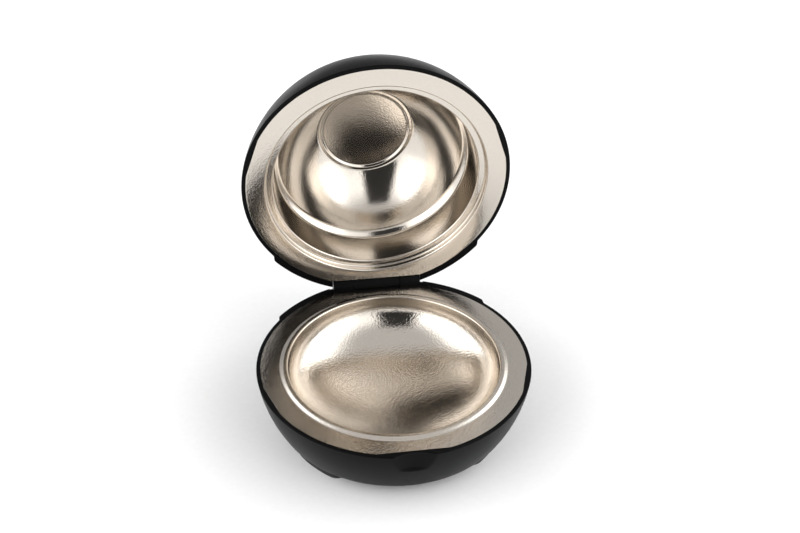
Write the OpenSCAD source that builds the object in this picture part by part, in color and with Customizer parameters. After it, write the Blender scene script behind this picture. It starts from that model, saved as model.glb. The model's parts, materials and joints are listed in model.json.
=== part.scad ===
// Signal blocking key box: a squashed ball of two black moulded shells, hinged at the back.
// Each shell holds a pressed, nickel-plated liner, and the two liners shield what lies inside.
// The box is drawn standing on its feet with the lid open on its stop.
// X runs to the right, Y from the thumb scoop to the hinge, Z up. The origin is on the ground,
// under the middle of the open box.

/* [Shells] */
// Outside diameter of both shells at the rim
rim_d = 145; // [140:1:152]
// Wall thickness of both shells
shell_wall = 2.2; // [2:0.1:2.6]
// Width of the bare rim outside the liner flange
rim_face_w = 2.3; // [2:0.1:2.8]
// Gap between the two rims when the lid is shut
close_gap = 0.3; // [0.3:0.05:0.5]
// Thickness of the ledge that carries a liner flange
ledge_t = 2.4; // [2:0.1:3]
// Width of that ledge, inwards from the flange edge
ledge_w = 8.6; // [8.4:0.1:9.2]

/* [Base shell] */
// Lean of the base wall at the rim, from upright
base_lean = 7.5; // [7:0.5:9]
// Lean at which the base wall turns into the bottom corner
base_turn = 29; // [28:0.5:30]
// Radius of the base wall's curve
base_wall_r = 76; // [74:0.5:79]
// Radius of the corner between the wall and the underside
base_corner_r = 12; // [11:0.5:13]
// Half the width of the thumb scoop, measured across the front
scoop_half = 12; // [9:0.5:12.5]
// How far the thumb scoop is cut into the rim
scoop_in = 3.4; // [3:0.1:3.6]
// Height of the thumb scoop
scoop_h = 10.5; // [9:0.5:11]
// Thickness of the wall behind the scoop
scoop_back = 2.6; // [2.4:0.1:3]

/* [Lid shell] */
// Lean of the lid wall at the rim, from upright
lid_lean = 8.5; // [8:0.5:9.5]
// Lean at which the lid wall meets the shoulder
lid_turn = 46; // [45:0.5:47]
// Lean at which the shoulder meets the edge of the crown
crown_turn = 64; // [63:0.5:66]
// Radius of the lid wall's curve
lid_wall_r = 77.5; // [76.5:0.5:79]
// Radius of the shoulder
shoulder_r = 48; // [46:0.5:50]
// Radius of the edge of the flat crown
crown_edge_r = 18; // [16:0.5:19]

/* [Liners] */
// Sheet thickness of both liners
liner_t = 0.5; // [0.4:0.05:0.6]
// Thickness of the adhesive under flanges and crown
tape_t = 0.4; // [0.3:0.05:0.5]
// Gap between a flange edge and the rim round it
flange_fit = 0.15; // [0.1:0.05:0.2]
// Width of the flat flange between its edge and the bead
flange_w = 11; // [10:0.1:12]
// Depth of the upright lip above the curve of the base bowl
bowl_lip = 2.5; // [2:0.1:4]
// Height of the base bowl above the shell floor
bowl_standoff = 2.3; // [2:0.1:3]
// Width of the raised bead round the base bowl
bead_w = 3.3; // [3:0.1:3.6]
// Height of the bead above the flange
bead_h = 1; // [0.8:0.1:1.4]
// Gap round the bead inside the lid recess
bead_gap = 0.5; // [0.4:0.05:0.7]
// Depth of the lid recess that takes the bead
recess_d = 3.3; // [2.8:0.1:3.8]
// Width of that recess
recess_w = 4.2; // [3.8:0.1:4.8]
// Height of the upright wall of the lid bowl
lid_wall_h = 16.5; // [15:0.5:18]
// Lean of that wall at its top end
lid_wall_bend = 12; // [10:1:14]
// Radius of the fillet at the step in the lid bowl
step_fillet_r = 5; // [4:0.5:6]
// Lean of the step where the dome starts
step_turn = 60; // [50:1:65]
// Radius where the dome ends in a flat ring
lip_r = 26.8; // [26:0.1:28]
// Radius of the flat disc inside that ring
disc_r = 23.6; // [23:0.1:24]
// Depth of the disc behind the ring
disc_in = 0.8; // [0.6:0.1:0.9]
// Width of the slope between the ring and the disc
disc_slope = 1.6; // [1.5:0.1:2]
// Radius of the small bends in the pressed sheet
press_r = 0.8; // [0.7:0.1:1]

/* [Flats on the flanges] */
// Inset of the straight front edge, on the base only
front_flat = 2.5; // [2:0.1:3]
// Inset of the straight side edges
side_flat = 0.9; // [0.7:0.1:1.2]
// Turn of the side edges towards the front
side_flat_turn = 18; // [15:0.5:20]
// Gap between the hinge barrel and the straight rear edge
rear_flat_gap = 0.3; // [0.3:0.05:0.5]

/* [Hinge] */
// Distance of the hinge axis inwards from the rim edge
hinge_in = 2.7; // [2.6:0.05:3]
// Height of the hinge axis above the base rim
hinge_up = 1.45; // [1.3:0.05:1.6]
// Radius of the hinge barrel
knuckle_r = 3.7; // [3.5:0.1:3.8]
// Whole length of the hinge barrel
barrel_w = 49; // [46:0.5:50]
// Length of the lid knuckle in the middle
lid_knuckle_w = 26; // [22:0.5:28]
// Side gap between knuckles
knuckle_gap = 0.25; // [0.2:0.05:0.4]
// Gap round a moving barrel or web
swing_gap = 0.4; // [0.35:0.05:0.5]
// Diameter of the hinge pin
pin_d = 3; // [2.5:0.1:3.4]
// Radial running clearance of the pin
pin_fit = 0.05; // [0.03:0.01:0.08]
// Diameter of the plugs at the ends of the pin
plug_d = 4.4; // [4:0.1:4.8]
// Thickness of those plugs
plug_t = 1.7; // [1.4:0.1:2]
// Angle that the lid opens to
open_deg = 87; // [84:0.5:88]
// How far the hinge band stands out of both shells
band_out = 1.9; // [1.7:0.1:2.2]
// Half the angle that the hinge band covers
band_half = 52; // [48:1:54]
// Height of the hinge band on each shell
band_h = 12; // [11:0.5:14]
// Length of the slanted ends of the band
band_end = 2.8; // [2:0.1:3.2]

/* [Magnets] */
// Diameter of the closing magnets
magnet_d = 6.4; // [6:0.1:6.6]
// Thickness of the closing magnets
magnet_t = 2.5; // [2:0.1:3]
// Wall round a magnet pocket
magnet_wall = 1.3; // [1.2:0.1:1.6]
// Angle between a magnet and the front of the box
magnet_turn = 28; // [24:1:34]
// Gap round a magnet in its pocket
magnet_fit = 0.1; // [0.05:0.05:0.15]

/* [Ballast] */
// Thickness of the steel ring in the base
ballast_t = 6; // [5:0.5:6.5]
// Gap between the ring and the bowl above its inner edge
ballast_clear = 1.2; // [0.8:0.1:2]
// Distance from the ring to the bend of the shell outside it
ballast_edge = 1.5; // [1:0.1:4]
// Gap under the ring
ballast_gap = 0.05; // [0.05:0.05:0.1]
// Diameter of the screws
screw_d = 3; // [2.5:0.1:3.5]
// Diameter of the countersunk screw heads
screw_head_d = 5.6; // [5:0.1:6]
// Gap between a screw and its hole
screw_fit = 0.1; // [0.05:0.05:0.2]
// Radius of the foam pad under the base bowl
pad_r = 12; // [8:0.5:14]
// Gap above the foam pad
pad_gap = 0.3; // [0.2:0.05:0.4]

/* [Feet] */
// Height of the shell above the ground
foot_h = 2.1; // [1.7:0.1:2.6]
// Width of a foot from inside to outside
foot_w = 12; // [11:0.5:13]
// Half the angle between the round ends of a foot
foot_half = 10.5; // [8:0.5:13]
// Turn of the front feet from the sides
foot_turn = 38; // [36:1:42]
// Gap between a foot and the shell
foot_fit = 0.1; // [0.05:0.05:0.15]
// Diameter of the peg on a foot
peg_d = 4.6; // [4:0.1:5]
// Distance from the inner edge of a foot to its peg
peg_edge = 0.9; // [0.5:0.1:1.5]

/* [Hidden] */
$fn = 96;
shell_black = [0.10, 0.10, 0.11];
plate_silver = [0.80, 0.76, 0.70];
steel_grey = [0.60, 0.61, 0.63];
rubber_black = [0.06, 0.06, 0.06];
tape_white = [0.85, 0.85, 0.82];
magnet_silver = [0.72, 0.72, 0.74];

// A length that reaches right past any piece
far = 200;
// Gap at the blind end of a peg, a screw or the pin
end_gap = 0.3;
rim_r = rim_d / 2;
flange_r = rim_r - rim_face_w;
ledge_in_r = flange_r - ledge_w;
seat_d = liner_t + tape_t;

// Centres of the arcs of the base outline, with the rim plane at height 0 and the bottom below it
base_arc_1 = [rim_r - base_wall_r * cos(base_lean), base_wall_r * sin(base_lean)];
base_arc_2 = base_arc_1 + (base_wall_r - base_corner_r) * [cos(base_turn), -sin(base_turn)];
base_depth = base_corner_r - base_arc_2.y;
floor_d = base_depth - shell_wall;
bowl_d = floor_d - bowl_standoff - liner_t;

// Centres of the arcs of the lid outline, with the lid rim at height 0 and the crown above it
lid_arc_1 = [rim_r - lid_wall_r * cos(lid_lean), -lid_wall_r * sin(lid_lean)];
lid_arc_2 = lid_arc_1 + (lid_wall_r - shoulder_r) * [cos(lid_turn), sin(lid_turn)];
lid_arc_3 = lid_arc_2 + (shoulder_r - crown_edge_r) * [cos(crown_turn), sin(crown_turn)];
lid_depth = lid_arc_3.y + crown_edge_r;
disc_d = lid_depth - shell_wall - tape_t - liner_t;

rim_z = foot_h + base_depth;
hinge_y = rim_r - hinge_in;
hinge_z = rim_z + hinge_up;
rear_flat_y = hinge_y - knuckle_r - rear_flat_gap;
bead_out_r = flange_r - flange_w;
bowl_r = bead_out_r - bead_w;
recess_r = bead_out_r + bead_gap;
lid_bowl_r = recess_r - recess_w;

// The lid hangs on the hinge in lid coordinates, with its rim at height 0 when it is shut
lid_rim_z = rim_z + close_gap;
axis_in_lid = hinge_up - close_gap;
swing_r = sqrt(pow(hinge_in + band_out / cos(lid_lean), 2) + pow(axis_in_lid, 2));
notch_d = swing_r + swing_gap - hinge_up;
notch_half = lid_knuckle_w / 2 + knuckle_gap;
lid_notch_h = hinge_in + band_out / cos(base_lean) + swing_gap + axis_in_lid;
block_in_y = hinge_y - knuckle_r - shell_wall;
block_half = barrel_w / 2 + shell_wall;

scoop_r = (pow(scoop_half, 2) + pow(scoop_in, 2)) / (2 * scoop_in);
// The magnets sit a little inside the middle of the ledge, clear of the wall
magnet_circle_r = flange_r - ledge_w / 2 - 0.7;
pocket_d = magnet_t + magnet_fit;
boss_r = magnet_d / 2 + magnet_fit + magnet_wall;
bore_r = pin_d / 2 + pin_fit;
head_h = (screw_head_d - screw_d) / 2;
// The ring reaches inwards to where the underside of the bowl leaves ballast_clear above it
bowl_share = (floor_d - ballast_gap - ballast_t - ballast_clear - liner_t - bowl_lip) / (bowl_d - bowl_lip);
ballast_in_r = bowl_r * sqrt(1 - pow(bowl_share, 2));
ballast_out_r = base_arc_2.x - ballast_edge;
ballast_screw_circle = (ballast_in_r + ballast_out_r) / 2;
// The feet stand under the bend where the flat underside ends
foot_circle_r = base_arc_2.x;
foot_in_r = foot_circle_r - foot_w / 2;
peg_circle_r = foot_in_r + peg_edge + peg_d / 2;

// The origin lies under the middle of the open box. The rim reaches furthest forward beside the scoop
scoop_y = rim_r + scoop_r - scoop_in;
front_y = -(pow(scoop_y, 2) + pow(rim_r, 2) - pow(scoop_r, 2)) / (2 * scoop_y);
crown_y = hinge_y + (lid_arc_3.x - hinge_y) * cos(open_deg)
  + (lid_arc_3.y - axis_in_lid) * sin(open_deg) + crown_edge_r;
middle_y = (front_y + crown_y) / 2;

// Points along an arc about c, from angle a0 to a1
function arc(c, r, a0, a1, n) =
  [for (i = [0:n]) let (a = a0 + (a1 - a0) * i / n) [c.x + r * cos(a), c.y + r * sin(a)]];

function reversed(p) = [for (i = [len(p) - 1:-1:0]) p[i]];

// Direction of an outline at its point i. The last point lies on the axis, where it runs level
function run(p, i) = i == len(p) - 1 ? [-1, 0] :
  let (d = p[i + 1] - p[max(i - 1, 0)]) d / norm(d);

// The outline moved sideways by t, to the right of its run
function beside(p, t) =
  [for (i = [0:len(p) - 1]) let (d = run(p, i)) p[i] + t * [d.y, -d.x]];

// A smooth rise from one level to another over n points
function blend(from, to, n) =
  [for (i = [1:n]) let (u = i / n)
    [from.x + (to.x - from.x) * u, from.y + (to.y - from.y) * (1 - cos(180 * u)) / 2]];

// The outline of the base shell, moved inwards by off
function base_outline(off) = concat(
  [[rim_r - off / cos(base_lean), 0]],
  arc(base_arc_1, base_wall_r - off, -base_lean, -base_turn, 10),
  arc(base_arc_2, base_corner_r - off, -base_turn, -90, 6)
);

// The outline of the lid shell, moved inwards by off
function lid_outline(off) = concat(
  [[rim_r - off / cos(lid_lean), 0]],
  arc(lid_arc_1, lid_wall_r - off, lid_lean, lid_turn, 10),
  arc(lid_arc_2, shoulder_r - off, lid_turn, crown_turn, 5),
  arc(lid_arc_3, crown_edge_r - off, crown_turn, 90, 5)
);

// The top face of the base liner, from the flange edge over the bead and down the bowl
base_liner_face = concat(
  [[flange_r, 0], [bead_out_r + press_r, 0]],
  blend([bead_out_r + press_r, 0], [bead_out_r - press_r, bead_h], 6),
  arc([bowl_r + press_r, bead_h - press_r], press_r, 90, 180, 4),
  [for (i = [0:24]) let (a = 90 * i / 24)
    [bowl_r * cos(a), -bowl_lip - (bowl_d - bowl_lip) * sin(a)]]
);

// Centres of the arcs of the lid bowl: its wall, and the fillet at the step
bowl_wall_r = lid_wall_h / sin(lid_wall_bend);
bowl_arc_1 = [lid_bowl_r - bowl_wall_r, recess_d + press_r];
bowl_arc_2 = bowl_arc_1 + (bowl_wall_r - step_fillet_r) * [cos(lid_wall_bend), sin(lid_wall_bend)];
step_end = bowl_arc_2 + step_fillet_r * [cos(step_turn), sin(step_turn)];

// The dome of the lid bowl is a sphere about a point on the axis, through its step and its lip.
// It starts just inside and above the end of the step, which leaves a fine crease between them.
// It ends in a flat ring round the disc
dome_start = step_end + [-0.5, 0.6];
dome_end = [lip_r, disc_d - disc_in];
dome_mid = (dome_start * dome_start - dome_end * dome_end) / (2 * (dome_start.y - dome_end.y));
dome_r = norm(dome_start - [0, dome_mid]);

// The face of the lid liner, from the flange edge into the recess and up the bowl
lid_liner_face = concat(
  [[flange_r, 0]],
  arc([recess_r + press_r, press_r], press_r, 270, 180, 4),
  arc([recess_r - press_r, recess_d - press_r], press_r, 0, 90, 4),
  arc([lid_bowl_r + press_r, recess_d + press_r], press_r, 270, 180, 4),
  arc(bowl_arc_1, bowl_wall_r, 1, lid_wall_bend, 5),
  arc(bowl_arc_2, step_fillet_r, lid_wall_bend + 8, step_turn, 5),
  arc([0, dome_mid], dome_r, asin((dome_start.y - dome_mid) / dome_r),
    asin((dome_end.y - dome_mid) / dome_r), 10),
  blend([disc_r + disc_slope, dome_end.y], [disc_r, disc_d], 6),
  [[0, disc_d]]
);

// Places the pieces of the box in its frame
module on_base() translate([0, -middle_y, rim_z]) children();

// Turns a piece of the shut lid back to where the open lid stands
module on_lid()
  translate([0, hinge_y - middle_y, hinge_z])
    rotate([-open_deg, 0, 0])
      translate([0, -hinge_y, -axis_in_lid]) children();

module base_body(off) rotate_extrude() polygon(concat([[0, 0]], base_outline(off), [[0, off - base_depth]]));

module lid_body(off) rotate_extrude() polygon(concat([[0, 0]], lid_outline(off), [[0, lid_depth - off]]));

// Everything beyond a straight edge at distance d in the direction turn
module beyond(turn, d) rotate(turn) translate([d, -rim_r]) square([far, rim_d]);

// Plan of the lid's flange with straight edges at the sides and the rear, grown by off
module lid_plan(off) difference() {
  circle(r = flange_r + off);
  beyond(-side_flat_turn, flange_r - side_flat + off);
  beyond(180 + side_flat_turn, flange_r - side_flat + off);
  beyond(90, rear_flat_y + off);
}

// Plan of the base's flange, which has a straight edge at the front too
module base_plan(off) difference() {
  lid_plan(off);
  beyond(-90, flange_r - front_flat + off);
}

// Plan of the sector that the hinge band fills, with slanted ends
module band_plan() {
  half = band_half - band_end / rim_r * 180 / PI;
  out_r = rim_r + band_out;
  polygon([for (p = [[0, 0], [rim_r, band_half], [out_r, half], [far, half], [far, 0], [far, -half],
      [out_r, -half], [rim_r, -band_half]]) p.x * [cos(90 + p.y), sin(90 + p.y)]]);
}

// Ring of space above a slope of 45 degrees, which ends the band away from the rim
module band_room() {
  reach = 13;
  edge = rim_r + band_out;
  rotate_extrude() polygon([[edge - reach, reach], [edge + reach, reach], [edge + reach, reach - band_h],
    [edge - reach, -reach - band_h]]);
}

// Barrel stretch of the hinge, from x0 to x1, about the axis at height z
module barrel(x0, x1, r, z) translate([x0, hinge_y, z]) rotate([0, 90, 0]) cylinder(r = r, h = x1 - x0);

module block(x0, x1, y0, y1, z0, z1) translate([x0, y0, z0]) cube([x1 - x0, y1 - y0, z1 - z0]);

// Repeats a piece at the places of the two closing magnets
module at_magnets() for (side = [-1, 1])
  rotate(side * magnet_turn - 90) translate([magnet_circle_r, 0, 0]) children();

module base_envelope() {
  base_body(0);
  intersection() {
    base_body(-band_out);
    linear_extrude(height = far, center = true) band_plan();
    band_room();
  }
}

module lid_envelope() {
  lid_body(0);
  intersection() {
    lid_body(-band_out);
    linear_extrude(height = far, center = true) band_plan();
    mirror([0, 0, 1]) band_room();
  }
}

module base_shell() color(shell_black) on_base() difference() {
  union() {
    difference() {
      base_envelope();
      base_body(shell_wall);
      block(-far, far, -far, far, 0, far);
    }
    intersection() {
      base_envelope();
      union() {
        difference() {
          translate([0, 0, -seat_d - ledge_t]) cylinder(r = rim_r + band_out, h = seat_d + ledge_t);
          translate([0, 0, -far / 2]) cylinder(r = ledge_in_r, h = far);
        }
        block(-scoop_half - shell_wall, scoop_half + shell_wall, -rim_r, -rim_r + scoop_in + scoop_back,
          -scoop_h - shell_wall, -seat_d);
        block(-block_half, block_half, block_in_y, far, -notch_d - shell_wall, 0);
        at_magnets() translate([0, 0, -seat_d - pocket_d - magnet_wall])
          cylinder(r = boss_r, h = pocket_d + magnet_wall);
      }
    }
    for (side = [0, 1]) mirror([side, 0, 0]) base_knuckle();
  }
  translate([0, 0, -seat_d]) linear_extrude(height = far) base_plan(flange_fit);
  base_cuts();
}

// One of the two base knuckles, on the right
module base_knuckle() {
  barrel(notch_half, barrel_w / 2, knuckle_r, hinge_up);
  block(notch_half, barrel_w / 2, hinge_y - knuckle_r, hinge_y + knuckle_r, -notch_d, hinge_up);
}

// Everything that is cut out of the base shell, apart from the seat of the liner
module base_cuts() {
  block(-notch_half, notch_half, rear_flat_y + flange_fit, far, -notch_d, far);
  barrel(-barrel_w / 2, barrel_w / 2, bore_r, hinge_up);
  for (side = [0, 1]) mirror([side, 0, 0])
    barrel(barrel_w / 2 - plug_t - pin_fit, barrel_w / 2 + plug_t + pin_fit, plug_d / 2 + pin_fit, hinge_up);
  translate([0, -scoop_y, -scoop_h]) cylinder(r = scoop_r, h = far);
  at_magnets() translate([0, 0, -seat_d - pocket_d]) cylinder(r = magnet_d / 2 + magnet_fit, h = far);
  at_feet() translate([peg_circle_r, 0, -base_depth - 1])
    cylinder(r = peg_d / 2 + foot_fit, h = shell_wall + 2);
  at_screws() {
    translate([0, 0, -base_depth - 1]) cylinder(r = screw_d / 2 + screw_fit, h = shell_wall + 2);
    translate([0, 0, -base_depth]) cylinder(r1 = screw_head_d / 2 + screw_fit,
      r2 = screw_d / 2 + screw_fit, h = head_h);
  }
}

// Repeats a piece along the four foot directions
module at_feet() for (side = [-1, 1], end = [-1, 1]) rotate(90 - side * (90 + end * foot_turn)) children();

// Repeats a piece at the three ballast screws
module at_screws() for (i = [0:2]) rotate(90 + 120 * i) translate([ballast_screw_circle, 0, 0]) children();

module liner(face, side) rotate_extrude() polygon(concat(face, reversed(beside(face, side * liner_t))));

module base_liner() color(plate_silver) on_base() intersection() {
  liner(base_liner_face, -1);
  linear_extrude(height = far, center = true) base_plan(0);
}

// The ring of adhesive between a ledge and a flange of a given plan, with its lower face at height 0
module flange_tape() linear_extrude(height = tape_t) difference() {
  children();
  circle(r = ledge_in_r + flange_fit);
}

module base_flange_tape() color(tape_white) on_base()
  translate([0, 0, -seat_d]) flange_tape() base_plan(-flange_fit);

module ballast_ring() color(steel_grey) on_base() difference() {
  translate([0, 0, -floor_d + ballast_gap]) difference() {
    cylinder(r = ballast_out_r, h = ballast_t);
    translate([0, 0, -1]) cylinder(r = ballast_in_r, h = ballast_t + 2);
  }
  at_screws() translate([0, 0, -base_depth]) cylinder(r = screw_d / 2 + screw_fit, h = base_depth);
}

// Countersunk screws from the underside up into the ballast ring
module ballast_screws() color(steel_grey) on_base() at_screws() {
  recess = 0.2;
  socket_d = 0.9;
  translate([0, 0, -base_depth + recess]) difference() {
    union() {
      cylinder(r1 = screw_head_d / 2 - recess, r2 = screw_d / 2, h = head_h - recess);
      cylinder(r = screw_d / 2, h = shell_wall + ballast_t - end_gap);
    }
    translate([0, 0, -1]) cylinder(r = screw_d / 3, h = 1 + socket_d, $fn = 6);
  }
}

module bowl_pad() color(tape_white) on_base() translate([0, 0, -floor_d])
  cylinder(r = pad_r, h = bowl_standoff - pad_gap);

module magnet() cylinder(r = magnet_d / 2, h = magnet_t);

module base_magnet(side) color(magnet_silver) on_base()
  rotate(side * magnet_turn - 90) translate([magnet_circle_r, 0, -seat_d - magnet_t]) magnet();

module base_magnet_left() base_magnet(-1);

module base_magnet_right() base_magnet(1);

// Plan of a foot that points along +X: a bent bar with round ends
module foot_plan() {
  difference() {
    intersection() {
      circle(r = foot_in_r + foot_w);
      polygon([[0, 0], far * [cos(foot_half), -sin(foot_half)], far * [cos(foot_half), sin(foot_half)]]);
    }
    circle(r = foot_in_r);
  }
  for (a = [-foot_half, foot_half]) rotate(a) translate([foot_circle_r, 0]) circle(d = foot_w);
}

// A rubber foot whose top follows the shell, with a peg into the floor
module foot(turn) color(rubber_black) on_base() rotate(turn) {
  difference() {
    translate([0, 0, -rim_z]) linear_extrude(height = foot_h + base_corner_r) foot_plan();
    base_body(-foot_fit);
  }
  translate([peg_circle_r, 0, -rim_z + foot_h / 2])
    cylinder(r = peg_d / 2, h = foot_h / 2 + shell_wall - end_gap);
}

module foot_front_left() foot(180 + foot_turn);

module foot_front_right() foot(-foot_turn);

module foot_rear_left() foot(180 - foot_turn);

module foot_rear_right() foot(foot_turn);

module hinge_pin() color(steel_grey) on_base() {
  half = barrel_w / 2 - plug_t - end_gap;
  barrel(-half, half, pin_d / 2, hinge_up);
}

// A plug that closes the right end of the pin hole
module pin_plug() barrel(barrel_w / 2 - plug_t, barrel_w / 2, plug_d / 2, hinge_up);

module pin_plug_left() color(shell_black) on_base() mirror([1, 0, 0]) pin_plug();

module pin_plug_right() color(shell_black) on_base() pin_plug();

module lid_shell() color(shell_black) on_lid() difference() {
  union() {
    difference() {
      lid_envelope();
      lid_body(shell_wall);
      block(-far, far, -far, far, -far, 0);
    }
    intersection() {
      lid_envelope();
      union() {
        difference() {
          cylinder(r = rim_r + band_out, h = seat_d + ledge_t);
          translate([0, 0, -far / 2]) cylinder(r = ledge_in_r, h = far);
        }
        block(-block_half, block_half, block_in_y, far, 0, lid_notch_h + shell_wall);
        at_magnets() translate([0, 0, seat_d]) cylinder(r = boss_r, h = pocket_d + magnet_wall);
      }
    }
    lid_knuckle();
  }
  translate([0, 0, seat_d - far]) linear_extrude(height = far) lid_plan(flange_fit);
  at_magnets() translate([0, 0, seat_d + pocket_d - far]) cylinder(r = magnet_d / 2 + magnet_fit, h = far);
  for (side = [0, 1]) mirror([side, 0, 0]) block(lid_knuckle_w / 2, barrel_w / 2 + swing_gap,
    hinge_y - knuckle_r - rear_flat_gap, far, -far, lid_notch_h);
  barrel(-notch_half, notch_half, bore_r, axis_in_lid);
}

// The middle knuckle, which joins the lid above the barrel
module lid_knuckle() {
  half = lid_knuckle_w / 2;
  barrel(-half, half, knuckle_r, axis_in_lid);
  block(-half, half, hinge_y - knuckle_r, hinge_y + knuckle_r, axis_in_lid, lid_notch_h);
}

module lid_liner() color(plate_silver) on_lid() intersection() {
  liner(lid_liner_face, 1);
  linear_extrude(height = far, center = true) lid_plan(0);
}

module lid_flange_tape() color(tape_white) on_lid()
  translate([0, 0, liner_t]) flange_tape() lid_plan(-flange_fit);

module lid_crown_tape() color(tape_white) on_lid() translate([0, 0, disc_d + liner_t])
  cylinder(r = disc_r - press_r, h = tape_t);

module lid_magnet(side) color(magnet_silver) on_lid()
  rotate(side * magnet_turn - 90) translate([magnet_circle_r, 0, seat_d]) magnet();

module lid_magnet_left() lid_magnet(-1);

module lid_magnet_right() lid_magnet(1);

base_shell();
base_liner();
base_flange_tape();
ballast_ring();
ballast_screws();
bowl_pad();
base_magnet_left();
base_magnet_right();
foot_front_left();
foot_front_right();
foot_rear_left();
foot_rear_right();
hinge_pin();
pin_plug_left();
pin_plug_right();
lid_shell();
lid_liner();
lid_flange_tape();
lid_crown_tape();
lid_magnet_left();
lid_magnet_right();
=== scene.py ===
# %% [markdown]
# # A signal blocking key box
# The real box is a squashed ball of two black moulded shells, hinged at the back, and each shell
# holds a pressed sheet with a warm nickel plating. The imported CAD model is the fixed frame: it says
# where each piece is and how the lid turns. This script models the visible pieces once more, with
# round edges and smooth curves, and gives every piece its finish.

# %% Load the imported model
import json
import math

import bmesh
import bpy
from mathutils import Matrix, Vector


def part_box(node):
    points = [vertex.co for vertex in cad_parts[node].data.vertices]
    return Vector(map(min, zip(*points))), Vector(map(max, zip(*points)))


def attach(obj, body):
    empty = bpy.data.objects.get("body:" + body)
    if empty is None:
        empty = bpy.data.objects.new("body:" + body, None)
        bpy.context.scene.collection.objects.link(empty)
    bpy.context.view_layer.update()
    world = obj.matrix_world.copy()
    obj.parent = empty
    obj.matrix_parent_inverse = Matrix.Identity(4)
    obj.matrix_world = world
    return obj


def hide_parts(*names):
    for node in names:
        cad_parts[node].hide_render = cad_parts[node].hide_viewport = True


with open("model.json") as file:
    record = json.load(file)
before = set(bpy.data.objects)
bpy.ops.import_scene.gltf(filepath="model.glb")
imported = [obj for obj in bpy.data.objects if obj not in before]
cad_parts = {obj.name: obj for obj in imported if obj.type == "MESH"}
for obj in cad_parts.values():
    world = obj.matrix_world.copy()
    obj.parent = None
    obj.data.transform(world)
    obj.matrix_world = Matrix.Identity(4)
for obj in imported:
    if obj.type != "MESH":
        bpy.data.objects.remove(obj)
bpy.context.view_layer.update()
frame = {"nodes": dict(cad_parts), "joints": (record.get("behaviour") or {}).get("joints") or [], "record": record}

# %% [markdown]
# ## Sizes
# All outlines are written in millimetres, as a mould maker would draw them, about the axis of each
# shell with the rim plane at height 0. A matrix then takes each finished mesh into the frame, which
# is in metres. The base only moves; the lid is also turned back about the hinge.

# %% Rim and sheet, in millimetres
RIM_R = 72.5
WALL = 2.2
RIM_FACE_W = 2.3
FLANGE_R = RIM_R - RIM_FACE_W
FLANGE_FIT = 0.15
SHEET_T = 0.5
TAPE_T = 0.4
SEAT_D = SHEET_T + TAPE_T
LEDGE_T, LEDGE_W = 2.4, 8.6
LEDGE_D = SEAT_D + LEDGE_T
LEDGE_IN_R = RIM_R - RIM_FACE_W - LEDGE_W
MM = 0.001
STEPS = 360

# %% Hinge, in millimetres
HINGE_IN = 2.7
HINGE_Y = RIM_R - HINGE_IN
BARREL_R = 3.7
BARREL_W = 49
LID_KNUCKLE_W = 26
SIDE_GAP = 0.25
SWING_GAP = 0.4
CLOSE_GAP = 0.3
FLANGE_TO_BARREL = 0.3
REAR_FLAT_Y = HINGE_Y - BARREL_R - FLANGE_TO_BARREL
print("rim radius %.1f mm, hinge axis %.1f mm behind the middle" % (RIM_R, HINGE_Y))

# %% Places of the two shells in the frame
hinge = Vector(frame["joints"][0]["pos_m"])
open_deg = frame["joints"][0]["range_deg"][1]
ring_low, ring_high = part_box("ballast_ring")
base_middle_y = (ring_low.y + ring_high.y) / 2
BEAD_H = 1.0
rim_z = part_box("base_liner")[1].z - BEAD_H * MM
AXIS_UP = (hinge.z - rim_z) / MM
AXIS_IN_LID = AXIS_UP - CLOSE_GAP
on_base = Matrix.Translation((0, base_middle_y, rim_z)) @ Matrix.Scale(MM, 4)
on_lid = (Matrix.Translation(hinge) @ Matrix.Rotation(-math.radians(open_deg), 4, "X") @ Matrix.Scale(MM, 4)
          @ Matrix.Translation((0, -HINGE_Y, -AXIS_IN_LID)))
print("rim height %.2f mm, hinge %.2f mm above it, lid open by %d degrees" % (rim_z / MM, AXIS_UP, open_deg))

# %% [markdown]
# ## Outlines
# A moulded shell or a pressed bowl is round, so it is drawn once as an outline from the axis
# outwards and turned about the axis. Outlines are lists of (radius, height) points that come from
# arcs, so a change of one radius keeps the curve smooth.

# %% Helpers for outlines
SAME_POINT = 1e-4


def arc(centre, radius, start, end, steps):
    """Points along an arc, with the angles in degrees."""
    turns = [math.radians(start + (end - start) * i / steps) for i in range(steps + 1)]
    return [(centre[0] + radius * math.cos(a), centre[1] + radius * math.sin(a)) for a in turns]


def eased(before, corner, after, reach, steps=4):
    """Replaces a sharp corner of an outline by a small curve between its two neighbours."""
    before, corner, after = Vector(before), Vector(corner), Vector(after)
    first = corner + (before - corner).normalized() * reach
    last = corner + (after - corner).normalized() * reach
    curve = [first.lerp(corner, i / steps).lerp(corner.lerp(last, i / steps), i / steps) for i in range(steps + 1)]
    return [tuple(p) for p in curve]


def swell(start, end, steps):
    """A smooth rise or fall from one level to another."""
    shares = [i / steps for i in range(1, steps + 1)]
    return [(start[0] + (end[0] - start[0]) * u,
             start[1] + (end[1] - start[1]) * (1 - math.cos(math.pi * u)) / 2) for u in shares]


# %% Helpers for turned meshes and Boolean cuts
def turned(outline, steps=STEPS):
    """Turns an outline a full circle about the Z axis and closes it at the poles."""
    bm = bmesh.new()
    points = [bm.verts.new((r, 0, z)) for r, z in outline]
    edges = [bm.edges.new(pair) for pair in zip(points, points[1:])]
    bmesh.ops.spin(bm, geom=points + edges, cent=(0, 0, 0), axis=(0, 0, 1), dvec=(0, 0, 0),
                   angle=2 * math.pi, steps=steps, use_merge=True)
    bmesh.ops.remove_doubles(bm, verts=bm.verts, dist=SAME_POINT)
    bmesh.ops.recalc_face_normals(bm, faces=bm.faces)
    return bm


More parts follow.
